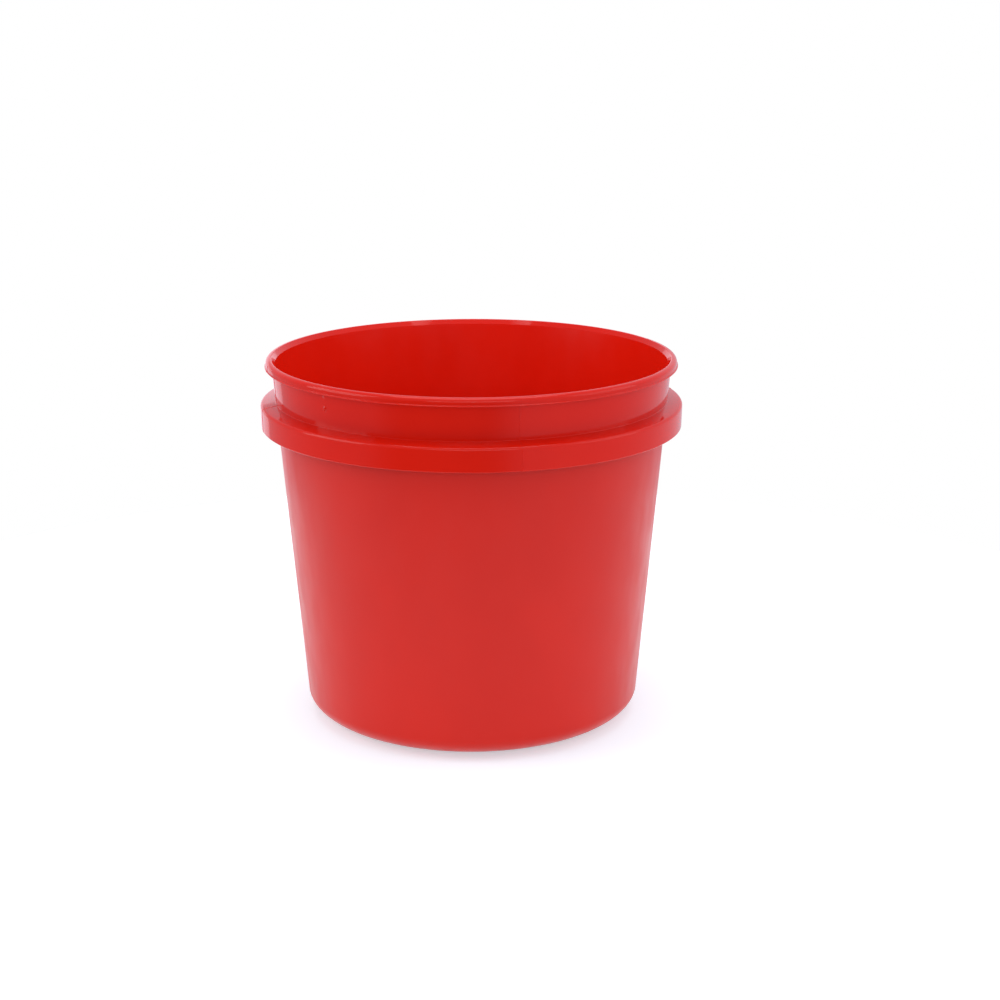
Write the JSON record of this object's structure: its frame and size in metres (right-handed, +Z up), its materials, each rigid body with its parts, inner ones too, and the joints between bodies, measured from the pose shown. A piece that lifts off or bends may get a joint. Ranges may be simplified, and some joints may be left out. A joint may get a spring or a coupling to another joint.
{
  "type": "sand bucket",
  "caption": "Tapered round sand bucket moulded in plastic, with a rolled rim, a smooth neck band, a collar that hangs around the outside and a rounded base. It has no handle and no lid.",
  "frame": {"origin": "Centre of the flat underside of the foot ring, on the surface that the bucket stands on.", "axes": "+Z up along the bucket's axis of revolution, towards the open mouth. -Y is the front, the side the picture was taken from. The parting lines of the mould are the only features that give the bucket a front."},
  "size_m": [0.205, 0.205, 0.179],
  "materials": {
    "polished_red_plastic": "Red polyethylene moulded against a polished part of the mould: smooth and glossy, with sharp reflections.",
    "satin_red_plastic": "The same red polyethylene moulded against a plainer part of the mould: satin, with broad soft reflections."
  },
  "bodies": {
    "root": {"rim_bead": "polished_red_plastic", "neck_band": "polished_red_plastic", "collar_ledge": "polished_red_plastic", "collar_skirt": "polished_red_plastic", "body_wall": "satin_red_plastic", "base_corner": "satin_red_plastic", "foot_ring": "satin_red_plastic", "base_panel": "satin_red_plastic"}
  },
  "joints": []
}
